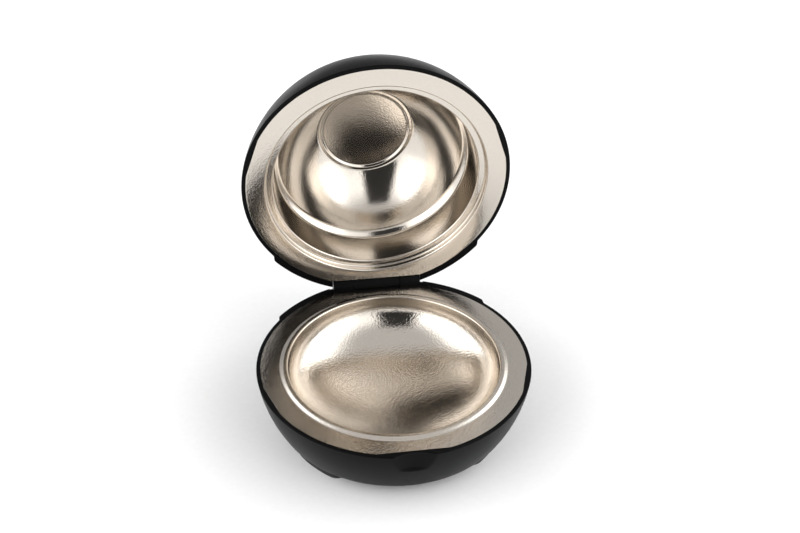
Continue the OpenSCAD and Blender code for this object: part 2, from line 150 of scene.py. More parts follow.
def box(low, high):
    """A block between two corners."""
    bm = bmesh.new()
    low, high = Vector(low), Vector(high)
    size = Matrix.Diagonal((*(high - low), 1))
    bmesh.ops.create_cube(bm, size=1, matrix=Matrix.Translation((low + high) / 2) @ size)
    return bm


def rod(outline, height, steps=64):
    """A turned piece that lies along X on the hinge axis. Its outline is (radius, place along X)."""
    bm = turned(outline, steps)
    lie_down = Matrix.Translation((0, HINGE_Y, height)) @ Matrix.Rotation(math.pi / 2, 4, "Y")
    bmesh.ops.transform(bm, matrix=lie_down, verts=bm.verts)
    return bm


def holder(bm):
    """A short-lived object that carries a bmesh into a modifier."""
    mesh = bpy.data.meshes.new("holder")
    bm.to_mesh(mesh)
    bm.free()
    obj = bpy.data.objects.new("holder", mesh)
    bpy.context.scene.collection.objects.link(obj)
    return obj


def combined(first, second, operation):
    """Joins two closed shapes, cuts the second from the first, or keeps what they share."""
    target, tool = holder(first), holder(second)
    step = target.modifiers.new(operation, "BOOLEAN")
    step.operation, step.solver, step.object = operation, "EXACT", tool
    bpy.context.view_layer.update()
    result = bmesh.new()
    result.from_object(target, bpy.context.evaluated_depsgraph_get())
    for used in (target, tool):
        mesh = used.data
        bpy.data.objects.remove(used)
        bpy.data.meshes.remove(mesh)
    return result


# %% [markdown]
# ## The flats on the flanges
# Both pressed liners have a round flange with straight edges: one at the rear beside the hinge and
# one on each side, and the base has one more above the thumb scoop. The shells have seats of the
# same plan. `bisect_plane` with `clear_outer` trims a mesh along a line, so one helper serves
# liners and seats.

# %% The trimmed plan
FRONT_FLAT = 2.5
SIDE_FLAT = 0.9
SIDE_FLAT_TURN = 18
LID_FLATS = [(-SIDE_FLAT_TURN, FLANGE_R - SIDE_FLAT), (180 + SIDE_FLAT_TURN, FLANGE_R - SIDE_FLAT), (90, REAR_FLAT_Y)]
BASE_FLATS = LID_FLATS + [(-90, FLANGE_R - FRONT_FLAT)]


def trim_flats(bm, flats, grow=0.0):
    """Trims a mesh along the straight edges of a flange. Each is (direction, distance)."""
    for turn, distance in flats:
        out = Vector((math.cos(math.radians(turn)), math.sin(math.radians(turn)), 0))
        bmesh.ops.bisect_plane(bm, geom=bm.verts[:] + bm.edges[:] + bm.faces[:], dist=1e-5,
                               plane_co=out * (distance + grow), plane_no=out, clear_outer=True)
    return bm


def seat_cutter(low, high, flats):
    """A prism of the flange's plan, a little larger, that cuts the seat of a liner into a rim."""
    bm = bmesh.new()
    bmesh.ops.create_circle(bm, cap_ends=True, segments=STEPS, radius=FLANGE_R + FLANGE_FIT)
    trim_flats(bm, flats, FLANGE_FIT)
    bmesh.ops.translate(bm, vec=(0, 0, low), verts=bm.verts)
    grown = bmesh.ops.extrude_face_region(bm, geom=bm.faces[:])["geom"]
    bmesh.ops.translate(bm, vec=(0, 0, high - low), verts=[v for v in grown if isinstance(v, bmesh.types.BMVert)])
    bmesh.ops.recalc_face_normals(bm, faces=bm.faces)
    return bm


# %% [markdown]
# ## Finished pieces
# Every piece goes through one door: its mesh is taken into the frame, its edges are sorted into
# smooth and sharp ones, it rides on its body, and the CAD node that it replaces is hidden.
# Weighted normals keep the wide faces flat beside their small round edges, which matters most on
# the mirror of the liners.

# %% The door for pieces
def finish_piece(name, bm, place, body, node, material, sharp_deg=38):
    """Makes a bmesh in millimetres a piece of the scene."""
    bmesh.ops.transform(bm, matrix=place, verts=bm.verts)
    mesh = bpy.data.meshes.new(name)
    bm.to_mesh(mesh)
    bm.free()
    mesh.shade_smooth()
    mesh.set_sharp_from_angle(angle=math.radians(sharp_deg))
    obj = bpy.data.objects.new(name, mesh)
    bpy.context.scene.collection.objects.link(obj)
    mesh.materials.append(material)
    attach(obj, body)
    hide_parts(node)
    print("%s: %d faces" % (name, len(mesh.polygons)))
    return obj


def weighted(obj):
    """Lets large faces decide the normals of the corners that they share with small ones."""
    step = obj.modifiers.new("normals", "WEIGHTED_NORMAL")
    step.mode, step.keep_sharp = "FACE_AREA", True


slot_of = {entry["node"]: entry["material_slot"] for entry in frame["record"]["subparts"]}

# %% [markdown]
# ## Shared effects for the finishes
# Real surfaces are never one flat colour. Two effects come back in several materials, so each is a
# node group with named sockets: a fine grain, as on pressed plating and on moulded plastic, and soft
# marks from handling. Both read object coordinates, which are the metres of the frame.

# %% Node helpers
def put(tree, kind, inputs=None, **settings):
    """Adds a node, sets its properties, and fills its inputs with values or links."""
    made = tree.nodes.new(kind)
    for key, value in settings.items():
        setattr(made, key, value)
    for key, value in (inputs or {}).items():
        if isinstance(value, bpy.types.NodeSocket):
            tree.links.new(value, made.inputs[key])
        else:
            made.inputs[key].default_value = value
    return made


def new_group(name, takes, gives):
    """Starts a shader group. takes lists (name, kind, default) of inputs, and gives (name, kind) of outputs."""
    tree = bpy.data.node_groups.new(name, "ShaderNodeTree")
    for label, kind, default in takes:
        socket = tree.interface.new_socket(label, in_out="INPUT", socket_type="NodeSocket" + kind)
        if default is not None:
            socket.default_value = default
    for label, kind in gives:
        tree.interface.new_socket(label, in_out="OUTPUT", socket_type="NodeSocket" + kind)
    return tree, tree.nodes.new("NodeGroupInput"), tree.nodes.new("NodeGroupOutput")


def math_node(tree, operation, a, b=0.0):
    """The result of one Math node, whose inputs are values or sockets."""
    return put(tree, "ShaderNodeMath", {0: a, 1: b}, operation=operation).outputs[0]


# %% Grain: two sizes of fine bumps and a slow wave
def make_grain():
    """A height for bumps, and a speckle that follows its coarse part."""
    tree, takes, gives = new_group(
        "surface grain",
        [("Vector", "Vector", None), ("Grains per Metre", "Float", 900.0), ("Fine Share", "Float", 0.4),
         ("Wave Share", "Float", 1.0), ("Waves per Metre", "Float", 60.0)],
        [("Height", "Float"), ("Speckle", "Float")])
    coarse = put(tree, "ShaderNodeTexNoise", {"Vector": takes.outputs["Vector"], "Detail": 2.0,
                 "Scale": takes.outputs["Grains per Metre"], "Roughness": 0.55})
    fine_scale = math_node(tree, "MULTIPLY", takes.outputs["Grains per Metre"], 2.7)
    fine = put(tree, "ShaderNodeTexNoise", {"Vector": takes.outputs["Vector"], "Detail": 1.0, "Scale": fine_scale})
    wave = put(tree, "ShaderNodeTexNoise", {"Vector": takes.outputs["Vector"], "Detail": 1.0,
               "Scale": takes.outputs["Waves per Metre"]})
    fine_part = math_node(tree, "MULTIPLY", fine.outputs["Fac"], takes.outputs["Fine Share"])
    wave_part = math_node(tree, "MULTIPLY", wave.outputs["Fac"], takes.outputs["Wave Share"])
    height = math_node(tree, "ADD", math_node(tree, "ADD", coarse.outputs["Fac"], fine_part), wave_part)
    tree.links.new(height, gives.inputs["Height"])
    speckle = put(tree, "ShaderNodeMapRange", {"Value": coarse.outputs["Fac"], "From Min": 0.35, "From Max": 0.65})
    tree.links.new(speckle.outputs["Result"], gives.inputs["Speckle"])
    return tree


grain = make_grain()


# %% Handling marks: faint smears
def make_marks():
    """A soft mask where hands have been."""
    tree, takes, gives = new_group(
        "handling marks", [("Vector", "Vector", None), ("Smears per Metre", "Float", 35.0)], [("Smears", "Float")])
    smear = put(tree, "ShaderNodeTexNoise", {"Vector": takes.outputs["Vector"], "Detail": 4.0,
                "Scale": takes.outputs["Smears per Metre"], "Distortion": 0.6})
    smears = put(tree, "ShaderNodeMapRange", {"Value": smear.outputs["Fac"], "From Min": 0.42, "From Max": 0.72})
    tree.links.new(smears.outputs["Result"], gives.inputs["Smears"])
    return tree


marks = make_marks()
print("node groups:", [g.name for g in bpy.data.node_groups])

# %% [markdown]
# ## Materials
# Each finish is one Principled shader. What is the same all over sits on the shader's own sockets,
# and what changes over the surface comes from the groups: colour, roughness and the height of a
# Bump node.

# %% A start for every finish
def new_finish(name, metallic, **plain):
    """A Principled material and its object coordinates. plain sets sockets of the shader by name."""
    material = bpy.data.materials.new(name)
    material.use_nodes = True
    tree = material.node_tree
    shader = tree.nodes["Principled BSDF"]
    shader.inputs["Metallic"].default_value = metallic
    for label, value in plain.items():
        shader.inputs[label.replace("_", " ")].default_value = value
    place = tree.nodes.new("ShaderNodeTexCoord").outputs["Object"]
    return material, tree, shader, place


def use_group(tree, group, place, **values):
    """Places a node group in a material with its own values."""
    made = put(tree, "ShaderNodeGroup", node_tree=group)
    tree.links.new(place, made.inputs["Vector"])
    for label, value in values.items():
        made.inputs[label.replace("_", " ")].default_value = value
    return made


def bumped(tree, shader, height, depth):
    """Turns a height into a bump of the shader's normal. The depth is in metres."""
    bump = put(tree, "ShaderNodeBump", {"Height": height, "Distance": depth, "Strength": 1.0})
    tree.links.new(bump.outputs["Normal"], shader.inputs["Normal"])


def between(tree, share, low, high):
    """A value that runs from low to high with a mask."""
    return put(tree, "ShaderNodeMapRange", {"Value": share, "To Min": low, "To Max": high}).outputs["Result"]


def tinted(tree, share, first, second):
    """A colour between two, chosen by a mask."""
    mix = put(tree, "ShaderNodeMix", {"Factor": share}, data_type="RGBA")
    mix.inputs["A"].default_value, mix.inputs["B"].default_value = (*first, 1), (*second, 1)
    return mix.outputs["Result"]


# %% [markdown]
# ## Nickel plating
# The two liners have the same plating over sheets of a different skin: the base shows a fine grain
# all over with sharp mirror images between, and the lid is smoother but a little hazy. So one
# function makes both, with the depth of the grain and the range of roughness as its differences.

# %% Warm nickel plating of the liners
BASE_GRAIN_DEPTH, LID_GRAIN_DEPTH = 0.00009, 0.000038
BASE_ROUGH, LID_ROUGH = (0.04, 0.08), (0.09, 0.13)


def make_nickel(name, depth, rough):
    """Warm nickel with a grain of its own depth and a range of roughness."""
    material, tree, shader, place = new_finish(name, 1.0)
    skin = use_group(tree, grain, place, Grains_per_Metre=950.0, Fine_Share=0.3, Wave_Share=0.5,
                     Waves_per_Metre=45.0)
    wear = use_group(tree, marks, place, Smears_per_Metre=30.0)
    colour = tinted(tree, skin.outputs["Speckle"], (0.642, 0.59, 0.527), (0.664, 0.614, 0.552))
    tree.links.new(colour, shader.inputs["Base Color"])
    tree.links.new(between(tree, wear.outputs["Smears"], *rough), shader.inputs["Roughness"])
    bumped(tree, shader, skin.outputs["Height"], depth)
    return material


base_nickel = make_nickel("nickel plating of the base", BASE_GRAIN_DEPTH, BASE_ROUGH)
lid_nickel = make_nickel("nickel plating of the lid", LID_GRAIN_DEPTH, LID_ROUGH)

# %% [markdown]
# ## Black plastic
# The shells are moulded in black plastic with a satin skin. Black that is really black needs a very
# dark base colour and a low specular level, or the white room would lift it to grey. Smears from
# hands change its roughness a little, and a grain finer than a pixel softens what it mirrors.

# %% Satin black plastic of the shells
def make_shell_black():
    """Black plastic, whose tone and roughness change with the smears."""
    material, tree, shader, place = new_finish("satin black plastic", 0.0, Specular_IOR_Level=0.07)
    skin = use_group(tree, grain, place, Grains_per_Metre=4200.0, Fine_Share=0.5, Wave_Share=0.0)
    wear = use_group(tree, marks, place, Smears_per_Metre=22.0)
    colour = tinted(tree, wear.outputs["Smears"], (0.0018, 0.0018, 0.002), (0.0032, 0.0032, 0.0035))
    tree.links.new(colour, shader.inputs["Base Color"])
    tree.links.new(between(tree, wear.outputs["Smears"], 0.33, 0.42), shader.inputs["Roughness"])
    bumped(tree, shader, skin.outputs["Height"], 0.000012)
    return material


shell_black = make_shell_black()

# %% [markdown]
# ## The small pieces
# The feet, and the pieces that only show when the box is taken apart, need no form of their own.
# They share one function, which takes two tones, a range of roughness and a grain, so that each
# still has its own surface. At the end each CAD node gets the finish of its slot.

# %% Rubber, adhesive, foam and the hidden steel
def make_plain_finish(name, metallic, dark, light, rough, grains, depth):
    """A finish with its own grain, two tones and a range of roughness."""
    material, tree, shader, place = new_finish(name, metallic)
    skin = use_group(tree, grain, place, Grains_per_Metre=grains, Wave_Share=0.3)
    wear = use_group(tree, marks, place)
    tree.links.new(tinted(tree, skin.outputs["Speckle"], dark, light), shader.inputs["Base Color"])
    tree.links.new(between(tree, wear.outputs["Smears"], *rough), shader.inputs["Roughness"])
    bumped(tree, shader, skin.outputs["Height"], depth)
    return material


# %% One finish for each slot
FINISHES = {
    "foot_rubber": make_plain_finish(
        "foot rubber", 0.0, (0.012, 0.012, 0.012), (0.022, 0.022, 0.022), (0.7, 0.85), 2500.0, 0.00003),
    "adhesive_tape": make_plain_finish(
        "adhesive tape", 0.0, (0.72, 0.72, 0.70), (0.82, 0.82, 0.80), (0.6, 0.8), 1800.0, 0.00002),
    "foam_pad": make_plain_finish(
        "foam pad", 0.0, (0.30, 0.30, 0.30), (0.42, 0.42, 0.42), (0.85, 0.95), 1200.0, 0.0001),
    "magnet_plating": make_plain_finish(
        "magnet plating", 1.0, (0.66, 0.66, 0.67), (0.74, 0.74, 0.75), (0.15, 0.3), 3000.0, 0.000004),
    "ballast_steel": make_plain_finish(
        "ballast steel", 1.0, (0.38, 0.39, 0.41), (0.50, 0.51, 0.53), (0.3, 0.5), 1500.0, 0.00001),
    "screw_steel": make_plain_finish(
        "screw steel", 1.0, (0.52, 0.53, 0.55), (0.62, 0.63, 0.65), (0.25, 0.4), 3000.0, 0.000005),
    "pin_steel": make_plain_finish(
        "pin steel", 1.0, (0.52, 0.53, 0.55), (0.60, 0.61, 0.63), (0.2, 0.35), 3000.0, 0.000004),
    "plated_liner": base_nickel,
    "shell_black": shell_black,
}
for name, obj in frame["nodes"].items():
    for slot in obj.material_slots:
        slot.material = FINISHES[slot_of[name]]
print("finishes:", sorted(FINISHES))

# %% [markdown]
# ## Outline of the base shell
# The wall leans inwards from the rim and turns round a tight corner into the flat underside. The
# section runs along the inside, over the ledge that carries the liner, across the rim and down the
# outside. A small curve eases the outer edge of the rim, where the real moulding catches the light.

# %% Base section
def polar(radius, deg):
    """The vector of a length and a direction."""
    return Vector((math.cos(math.radians(deg)), math.sin(math.radians(deg)))) * radius


BASE_LEAN, BASE_TURN = 7.5, 29
BASE_WALL_R, BASE_CORNER_R = 76, 12
RIM_EASE = 0.5
base_arc_1 = Vector((RIM_R, 0)) - polar(BASE_WALL_R, -BASE_LEAN)
base_arc_2 = base_arc_1 + polar(BASE_WALL_R - BASE_CORNER_R, -BASE_TURN)
BASE_DEPTH = BASE_CORNER_R - base_arc_2.y
print("base depth %.2f mm" % BASE_DEPTH)


def start_angle(centre, radius, height):
    """Angle at which an arc about centre passes a height."""
    return math.degrees(math.asin((height - centre.y) / radius))


def base_wall(off, height=0.0):
    """The outline of the base from a height near the rim down to the axis, moved inwards by off."""
    start = start_angle(base_arc_1, BASE_WALL_R - off, height)
    wall = arc(base_arc_1, BASE_WALL_R - off, start, -BASE_TURN, 30)
    corner = arc(base_arc_2, BASE_CORNER_R - off, -BASE_TURN, -90, 12)[1:]
    return wall + corner + [(0, off - BASE_DEPTH)]


def base_section():
    """The closed section of the base shell, from the axis along the inside and back outside."""
    inside = base_wall(WALL, -LEDGE_D)[::-1]
    outside = base_wall(0)
    edge = eased((0, 0), outside[0], outside[1], RIM_EASE)
    ledge = [(LEDGE_IN_R, -LEDGE_D), (LEDGE_IN_R, 0)]
    return inside + ledge + edge + outside[1:]


# %% [markdown]
# ## The band at the hinge
# Behind the hinge both shells stand out by almost 2 mm, over a little more than a quarter of the
# circle, with slanted ends and a slope that fades into the wall. It is one moulding with the shell,
# so the points of the turned wall are simply moved outwards there, which leaves no seam.

# %% Push the band out of a turned wall
BAND_OUT, BAND_H, BAND_HALF, BAND_END = 1.9, 12.0, 52.0, 2.8
BAND_SLOPE_H = 14
INNER_SHARE = 0.7
RIM_SLACK = RIM_EASE * 1.5


def push_band(bm, centre, radius):
    """Moves the wall outwards in the sector of the band. centre and radius are those of its arc."""
    taper = math.degrees(BAND_END / RIM_R)
    moved = 0
    for v in bm.verts:
        out, height = v.co.xy.length, abs(v.co.z)
        if height > BAND_H + BAND_SLOPE_H or out < RIM_R * INNER_SHARE:
            continue
        reach = abs(v.co.z - centre.y)
        wall_r = centre.x + math.sqrt(radius ** 2 - reach ** 2)
        if out < wall_r - RIM_SLACK:
            continue
        band_r = centre.x + math.sqrt((radius + BAND_OUT) ** 2 - reach ** 2)
        slope_r = RIM_R + BAND_OUT - (height - BAND_H)
        aside = abs(math.degrees(math.atan2(v.co.y, v.co.x)) - 90)
        share = min(max((BAND_HALF - aside) / taper, 0), 1)
        push = max(min(band_r, slope_r) - wall_r, 0) * share
        if push > 0:
            v.co.xy += v.co.xy.normalized() * push
            moved += 1
    print("band: moved", moved, "points")


# %% [markdown]
# ## The thumb scoop
# A finger opens the box at a shallow hollow in the front of the base. The real hollow is moulded,
# with soft edges. A Boolean cut would leave them sharp, so the wall is made finer there and its
# points are moved back to an upright cylinder, with a smooth blend at the edge.

# %% Press the scoop into the base
SCOOP_HALF, SCOOP_IN, SCOOP_H = 12.0, 3.4, 10.5
SCOOP_R = (SCOOP_HALF ** 2 + SCOOP_IN ** 2) / (2 * SCOOP_IN)
SCOOP_Y = RIM_R + SCOOP_R - SCOOP_IN
SCOOP_BACK = 2.6
SCOOP_SOFT = 0.6
SCOOP_MARGIN, SCOOP_FOOT = 4, 1.5


def press_scoop(bm):
    """Moves the outer wall back to the scoop's cylinder, and the inner wall behind it as well."""
    axis = Vector((0, -SCOOP_Y))
    near = {v for v in bm.verts
            if (v.co.xy - axis).length < SCOOP_R + SCOOP_MARGIN and v.co.z > -SCOOP_H - SCOOP_MARGIN}
    edges = [e for e in bm.edges if all(v in near for v in e.verts)]
    bmesh.ops.subdivide_edges(bm, edges=edges, cuts=1, use_grid_fill=True)
    moved = 0
    for v in bm.verts:
        away = v.co.xy - axis
        if away.length > SCOOP_R + SCOOP_BACK + SCOOP_MARGIN or v.co.z < -SCOOP_H - 2:
            continue
        wall_r = base_arc_1.x + math.sqrt(BASE_WALL_R ** 2 - (v.co.z - base_arc_1.y) ** 2)
        inner = v.co.xy.length < wall_r - 1 and v.co.z < -0.01
        radius = SCOOP_R + (SCOOP_BACK if inner else 0)
        fade = min(max((v.co.z + SCOOP_H + 1) / SCOOP_FOOT, 0), 1)
        overlap = max(SCOOP_SOFT - abs(radius - away.length), 0) / SCOOP_SOFT
        wanted = max(radius, away.length) + overlap ** 2 * SCOOP_SOFT / 4
        v.co.xy += away.normalized() * (wanted - away.length) * fade
        moved += wanted > away.length
    print("scoop: moved", moved, "points")


# %% [markdown]
# ## Base shell
# The turned section gets its band and scoop, then the seat of the liner, the notch for the lid's
# knuckle, two knuckles of its own and the bore of the pin. The knuckles are a barrel on a short
# web, as in the mould.

# %% Hinge shapes
LID_LEAN = 8.5
SWING_R = math.hypot(HINGE_IN + BAND_OUT / math.cos(math.radians(LID_LEAN)), AXIS_IN_LID)
NOTCH_D = SWING_R + SWING_GAP - AXIS_UP
LID_NOTCH_H = HINGE_IN + BAND_OUT / math.cos(math.radians(BASE_LEAN)) + SWING_GAP + AXIS_IN_LID
NOTCH_HALF = LID_KNUCKLE_W / 2 + SIDE_GAP
PLUG_R, PLUG_T, PLUG_FIT, BORE_R = 2.2, 1.7, 0.05, 1.55
KNUCKLE_EASE = 0.35
BLOCK_HALF = BARREL_W / 2 + WALL
FAR, CLEAR_UP, OVERCUT = 90, 20, 2


def knuckle(x0, x1, axis_z, web_low, web_high):
    """A length of hinge barrel with eased ends, on its web."""
    end_r = BARREL_R - KNUCKLE_EASE
    outline = [(0, x0), (end_r, x0), (BARREL_R, x0 + KNUCKLE_EASE), (BARREL_R, x1 - KNUCKLE_EASE),
               (end_r, x1), (0, x1)]
    barrel = rod(outline, axis_z)
    web = box((x0, HINGE_Y - BARREL_R, web_low), (x1, HINGE_Y + BARREL_R, web_high))
    return combined(barrel, web, "UNION")


def pin_bore(x0, x1, axis_z):
    """The bore of the pin, which is wider at both ends for the plugs."""
    mouth = BARREL_W / 2 - PLUG_T - PLUG_FIT
    wide = PLUG_R + PLUG_FIT
    if x1 < mouth:
        return rod([(0, x0), (BORE_R, x0), (BORE_R, x1), (0, x1)], axis_z, 48)
    return rod([(0, x0), (wide, x0), (wide, -mouth), (BORE_R, -mouth), (BORE_R, mouth), (wide, mouth),
                (wide, x1), (0, x1)], axis_z, 48)


# %% Make the base shell
def make_base_shell():
    """Builds the shell from its turned section, and cuts the hinge, the seat and the bore."""
    shell = turned(base_section())
    push_band(shell, base_arc_1, BASE_WALL_R)
    press_scoop(shell)
    filling = turned([(0, 0)] + base_wall(1))
    block = box((-BLOCK_HALF, HINGE_Y - BARREL_R - WALL, -NOTCH_D - WALL), (BLOCK_HALF, FAR, -SEAT_D / 2))
    shell = combined(shell, combined(filling, block, "INTERSECT"), "UNION")
    for side in (-1, 1):
        x0, x1 = sorted((side * NOTCH_HALF, side * BARREL_W / 2))
        shell = combined(shell, knuckle(x0, x1, AXIS_UP, -NOTCH_D, AXIS_UP), "UNION")
    notch = box((-NOTCH_HALF, REAR_FLAT_Y + FLANGE_FIT, -NOTCH_D), (NOTCH_HALF, FAR, CLEAR_UP))
    shell = combined(shell, notch, "DIFFERENCE")
    shell = combined(shell, seat_cutter(-SEAT_D, CLEAR_UP, BASE_FLATS), "DIFFERENCE")
    bore = pin_bore(-BARREL_W / 2 - OVERCUT, BARREL_W / 2 + OVERCUT, AXIS_UP)
    return combined(shell, bore, "DIFFERENCE")


base_shell = finish_piece("base_shell_moulding", make_base_shell(), on_base, "base", "base_shell", shell_black)
weighted(base_shell)

# %% [markdown]
# ## Lid shell
# The lid is the deeper half. Its wall rises from the rim, bends over a shoulder into a tighter edge
# and ends in a flat crown. The section is built in the same way, the other way up.

# %% Lid section
LID_TURN, CROWN_TURN = 46, 64
LID_WALL_R, SHOULDER_R, CROWN_EDGE_R = 77.5, 48, 18
lid_arc_1 = Vector((RIM_R, 0)) - polar(LID_WALL_R, LID_LEAN)
lid_arc_2 = lid_arc_1 + polar(LID_WALL_R - SHOULDER_R, LID_TURN)
lid_arc_3 = lid_arc_2 + polar(SHOULDER_R - CROWN_EDGE_R, CROWN_TURN)
LID_DEPTH = lid_arc_3.y + CROWN_EDGE_R
print("lid depth %.2f mm" % LID_DEPTH)


def lid_wall(off, height=0.0):
    """The outline of the lid from a height near the rim up to the axis, moved inwards by off."""
    start = start_angle(lid_arc_1, LID_WALL_R - off, height)
    wall = arc(lid_arc_1, LID_WALL_R - off, start, LID_TURN, 34)
    shoulder = arc(lid_arc_2, SHOULDER_R - off, LID_TURN, CROWN_TURN, 12)[1:]
    edge = arc(lid_arc_3, CROWN_EDGE_R - off, CROWN_TURN, 90, 10)[1:]
    return wall + shoulder + edge + [(0, LID_DEPTH - off)]


def lid_section():
    """The closed section of the lid shell, in the same order as that of the base."""
    inside = lid_wall(WALL, LEDGE_D)[::-1]
    outside = lid_wall(0)
    edge = eased((0, 0), outside[0], outside[1], RIM_EASE)
    return inside + [(LEDGE_IN_R, LEDGE_D), (LEDGE_IN_R, 0)] + edge + outside[1:]


# %% Make the lid shell
def make_lid_shell():
    """Builds the shell in the same steps, with its knuckle in the middle."""
    shell = turned(lid_section())
    push_band(shell, lid_arc_1, LID_WALL_R)
    filling = turned([(0, 0)] + lid_wall(1))
    block = box((-BLOCK_HALF, HINGE_Y - BARREL_R - WALL, SEAT_D / 2), (BLOCK_HALF, FAR, LID_NOTCH_H + WALL))
    shell = combined(shell, combined(filling, block, "INTERSECT"), "UNION")
    half = LID_KNUCKLE_W / 2
    shell = combined(shell, knuckle(-half, half, AXIS_IN_LID, AXIS_IN_LID, LID_NOTCH_H), "UNION")
    for side in (-1, 1):
        x0, x1 = sorted((side * half, side * (BARREL_W / 2 + SWING_GAP)))
        shell = combined(shell, box((x0, REAR_FLAT_Y, -CLEAR_UP), (x1, FAR, LID_NOTCH_H)), "DIFFERENCE")
    shell = combined(shell, seat_cutter(-CLEAR_UP, SEAT_D, LID_FLATS), "DIFFERENCE")
    return combined(shell, pin_bore(-NOTCH_HALF, NOTCH_HALF, AXIS_IN_LID), "DIFFERENCE")


lid_shell = finish_piece("lid_shell_moulding", make_lid_shell(), on_lid, "lid", "lid_shell", shell_black)
weighted(lid_shell)

# %% [markdown]
# ## Liners
# Each liner is one pressed sheet. Its face is an outline of flats and small bends, turned about the
# axis and trimmed along the straight edges of the flange. Solidify gives the sheet its thickness
# away from the face, and a fine bevel breaks the edge of the flange, which shows as a bright line.

# %% Make a liner from its face outline
CLOSEST, EDGE_BEVEL, CREASE_DEG = 0.05, 0.34, 60


def spaced(outline):
    """Drops points that lie closer together than the sheet could show."""
    kept = [outline[0]]
    for point in outline[1:]:
        if (Vector(point) - Vector(kept[-1])).length > CLOSEST:
            kept.append(point)
    return kept


def make_liner(name, outline, flats, place, body, node, material, face_up):
    """Turns, trims and orients the face of a liner, then gives the sheet its thickness."""
    bm = turned(spaced(outline))
    trim_flats(bm, flats)
    flange = max(bm.faces, key=lambda f: f.calc_center_median().xy.length)
    if (flange.normal.z > 0) != face_up:
        bmesh.ops.reverse_faces(bm, faces=bm.faces)
    obj = finish_piece(name, bm, place, body, node, material, sharp_deg=CREASE_DEG)
    sheet = obj.modifiers.new("sheet", "SOLIDIFY")
    sheet.thickness, sheet.offset = SHEET_T * MM, -1
    edge = obj.modifiers.new("edge", "BEVEL")
    edge.width, edge.segments = EDGE_BEVEL * MM, 2
    edge.limit_method, edge.angle_limit = "ANGLE", math.radians(CREASE_DEG)
    weighted(obj)


# %% [markdown]
# ## Base liner
# From the outside in, the sheet is a flat flange, a bead that stands 1 mm above it, and a round
# bowl. The bead is a smooth swell and not an arc, because a mirror shows each jump of a curve's
# bend as a line.

# %% Base liner: flange, raised bead and round bowl
FLANGE_W, BEAD_W, PRESS_R = 11.0, 3.3, 0.8
BEAD_OUT_R = FLANGE_R - FLANGE_W
BOWL_R = BEAD_OUT_R - BEAD_W
BOWL_LIP, LIP_MIDDLE = 2.5, 1.2
BEAD_EASE = 1.2
UNDER_BOWL = 2.3
BOWL_D = BASE_DEPTH - WALL - UNDER_BOWL - SHEET_T


def base_liner_outline():
    """The upper face of the base liner, from the edge of the flange to the middle of the bowl."""
    flange = [(FLANGE_R, 0), (FLANGE_R - 1, 0), (BEAD_OUT_R + 2, 0), (BEAD_OUT_R + BEAD_EASE, 0)]
    bead = swell((BEAD_OUT_R + BEAD_EASE, 0), (BEAD_OUT_R - BEAD_EASE, BEAD_H), 14)
    brow = arc((BOWL_R + PRESS_R, BEAD_H - PRESS_R), PRESS_R, 90, 180, 8)
    bowl = [(BOWL_R * math.cos(a), -BOWL_LIP - (BOWL_D - BOWL_LIP) * math.sin(a))
            for a in [math.pi / 2 * i / 72 for i in range(72)]]
    return flange + bead + brow + [(BOWL_R, 0), (BOWL_R, -LIP_MIDDLE)] + bowl + [(0, -BOWL_D)]


make_liner("base_liner_pressing", base_liner_outline(), BASE_FLATS, on_base, "base", "base_liner", base_nickel,
           face_up=True)

# %% [markdown]
# ## Lid liner
# The lid's sheet starts with a recess that makes room for the base's bead. A wall rises from there
# to a step, then a dome runs up to a flat disc in the crown. Arcs that share a tangent make the
# wall and the step. The dome meets the step at an angle, so a small curve replaces that corner.

# %% Lid liner: flange, recess, wall, step, dome and disc
RECESS_D, RECESS_W, BEAD_GAP = 3.3, 4.2, 0.5
RECESS_R = BEAD_OUT_R + BEAD_GAP
LID_BOWL_R = RECESS_R - RECESS_W
LID_WALL_H, WALL_BEND, STEP_R, STEP_TURN = 16.5, 12, 5, 60
LIP_R, DISC_R, DISC_IN, DISC_SLOPE = 26.8, 23.6, 0.8, 1.6
DISC_D = LID_DEPTH - WALL - TAPE_T - SHEET_T
CREASE_TURN, CREASE_SKIP, CREASE_REACH = 26, 2, 1.3
DOME_FOOT = Vector((-0.5, 0.6))


